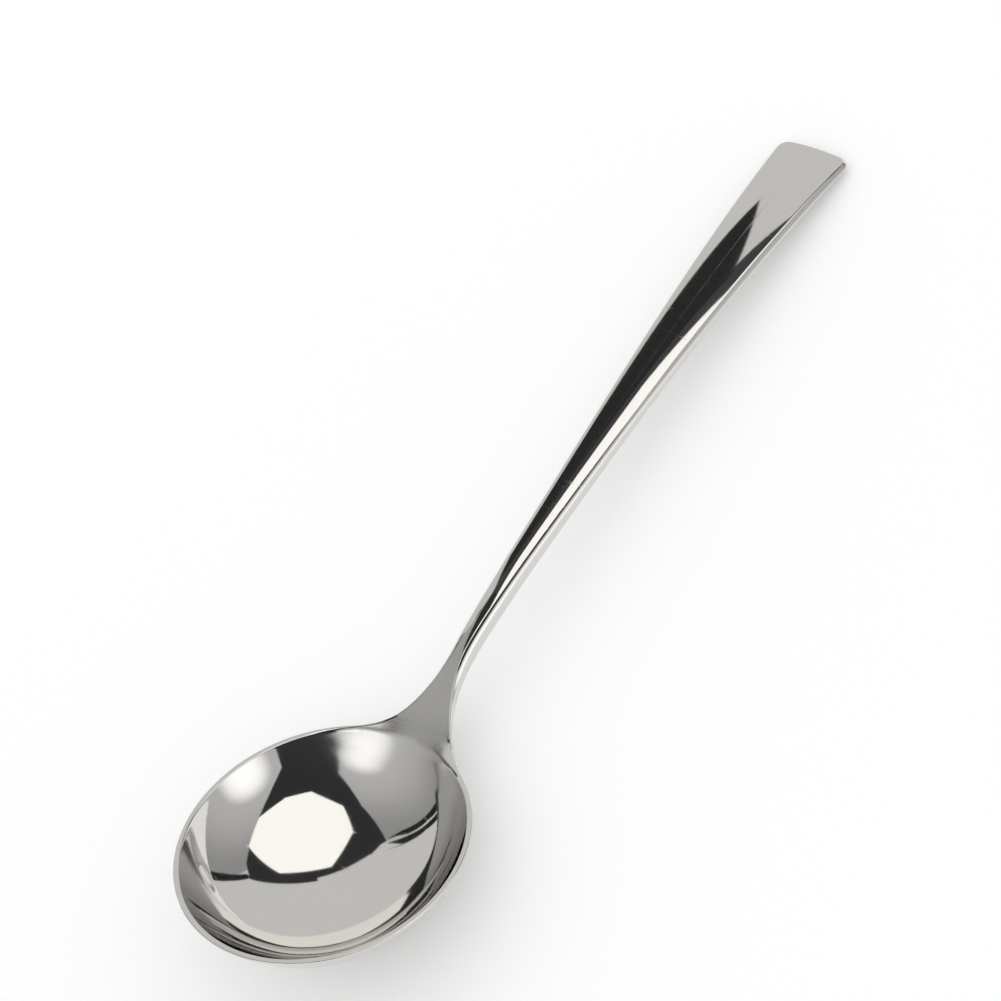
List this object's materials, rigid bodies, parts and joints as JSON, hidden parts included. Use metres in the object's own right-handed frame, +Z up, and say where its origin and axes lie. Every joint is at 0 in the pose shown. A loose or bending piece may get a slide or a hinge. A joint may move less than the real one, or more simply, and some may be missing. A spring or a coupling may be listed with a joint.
{
  "type": "soup spoon",
  "caption": "Round-bowl soup spoon in polished stainless steel with a slim neck and a handle that widens and arches towards its end.",
  "frame": {"origin": "middle of the outline at table level, with the spoon lying on its bowl and the end of its handle", "axes": "+X from the tip of the bowl to the end of the handle, +Y to the left of that, +Z up"},
  "size_m": [0.1754, 0.05, 0.0214],
  "materials": {
    "bowl_steel": "polished with a fine radial satin inside the bowl",
    "handle_steel": "mirror polished"
  },
  "bodies": {
    "root": {"bowl": "bowl_steel", "handle": "handle_steel"}
  },
  "joints": []
}
